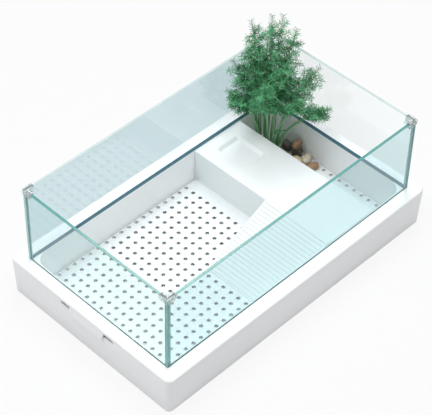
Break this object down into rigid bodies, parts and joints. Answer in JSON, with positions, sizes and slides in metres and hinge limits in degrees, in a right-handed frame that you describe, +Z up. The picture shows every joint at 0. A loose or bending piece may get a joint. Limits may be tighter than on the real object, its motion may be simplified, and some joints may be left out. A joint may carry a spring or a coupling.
{
  "type": "turtle tank",
  "caption": "Low open glass tank on a white moulded base, with a perforated floor tray, a basking deck with a ribbed ramp, a planted trough and loose stones.",
  "frame": {"origin": "middle of the footprint at table level, under the base", "axes": "+X along the long side towards the planting trough, +Y towards the back, +Z up"},
  "size_m": [0.611, 0.3678, 0.322],
  "materials": {
    "base_plastic": "smooth white moulded plastic",
    "insert_plastic": "fine matt white moulded plastic",
    "glass": "clear float glass with green edges",
    "silicone": "clear silicone",
    "clear_plastic": "clear moulded plastic",
    "rubber_foot": "soft rubber",
    "fern_base": "dark moulded resin",
    "fern_leaf": "soft green plastic leaf",
    "stone": "tumbled river stone"
  },
  "bodies": {
    "tank": {"base_tub": "base_plastic", "bead_back_left": "silicone", "bead_back_right": "silicone", "bead_front_left": "silicone", "bead_front_right": "silicone", "foot_back_left": "rubber_foot", "foot_back_right": "rubber_foot", "foot_front_left": "rubber_foot", "foot_front_right": "rubber_foot", "glass_back": "glass", "glass_bed": "silicone", "glass_front": "glass", "glass_left": "glass", "glass_right": "glass"},
    "tray": {"floor_tray": "insert_plastic"},
    "platform": {"basking_platform": "insert_plastic"},
    "plant": {"fern_foot": "fern_base", "frond_01": "fern_leaf", "frond_02": "fern_leaf", "frond_03": "fern_leaf", "frond_04": "fern_leaf", "frond_05": "fern_leaf", "frond_06": "fern_leaf", "frond_07": "fern_leaf", "frond_08": "fern_leaf", "frond_09": "fern_leaf", "frond_10": "fern_leaf", "frond_11": "fern_leaf", "frond_12": "fern_leaf", "frond_13": "fern_leaf", "frond_14": "fern_leaf"},
    "pebbles": {"pebble_1": "stone", "pebble_2": "stone", "pebble_3": "stone", "pebble_4": "stone", "pebble_5": "stone", "pebble_6": "stone", "pebble_7": "stone", "pebble_8": "stone", "pebble_9": "stone"},
    "clip_front_left": {"clip_front_left": "clear_plastic"},
    "clip_front_right": {"clip_front_right": "clear_plastic"},
    "clip_back_left": {"clip_back_left": "clear_plastic"},
    "clip_back_right": {"clip_back_right": "clear_plastic"}
  },
  "joints": [
    {"name": "tray_lift", "type": "slide", "parent": "tank", "child": "tray", "axis": [0, 0, 1], "range_m": [0, 0.25]},
    {"name": "platform_lift", "type": "slide", "parent": "tray", "child": "platform", "axis": [0, 0, 1], "range_m": [0, 0.24]},
    {"name": "plant_lift", "type": "slide", "parent": "platform", "child": "plant", "axis": [0, 0, 1], "range_m": [0, 0.24]},
    {"name": "pebble_slide", "type": "slide", "parent": "tray", "child": "pebbles", "axis": [0, -1, 0], "range_m": [0, 0.09]},
    {"name": "clip_front_left_lift", "type": "slide", "parent": "tank", "child": "clip_front_left", "axis": [0, 0, 1], "range_m": [0, 0.015]},
    {"name": "clip_front_right_lift", "type": "slide", "parent": "tank", "child": "clip_front_right", "axis": [0, 0, 1], "range_m": [0, 0.015]},
    {"name": "clip_back_left_lift", "type": "slide", "parent": "tank", "child": "clip_back_left", "axis": [0, 0, 1], "range_m": [0, 0.015]},
    {"name": "clip_back_right_lift", "type": "slide", "parent": "tank", "child": "clip_back_right", "axis": [0, 0, 1], "range_m": [0, 0.015]}
  ]
}
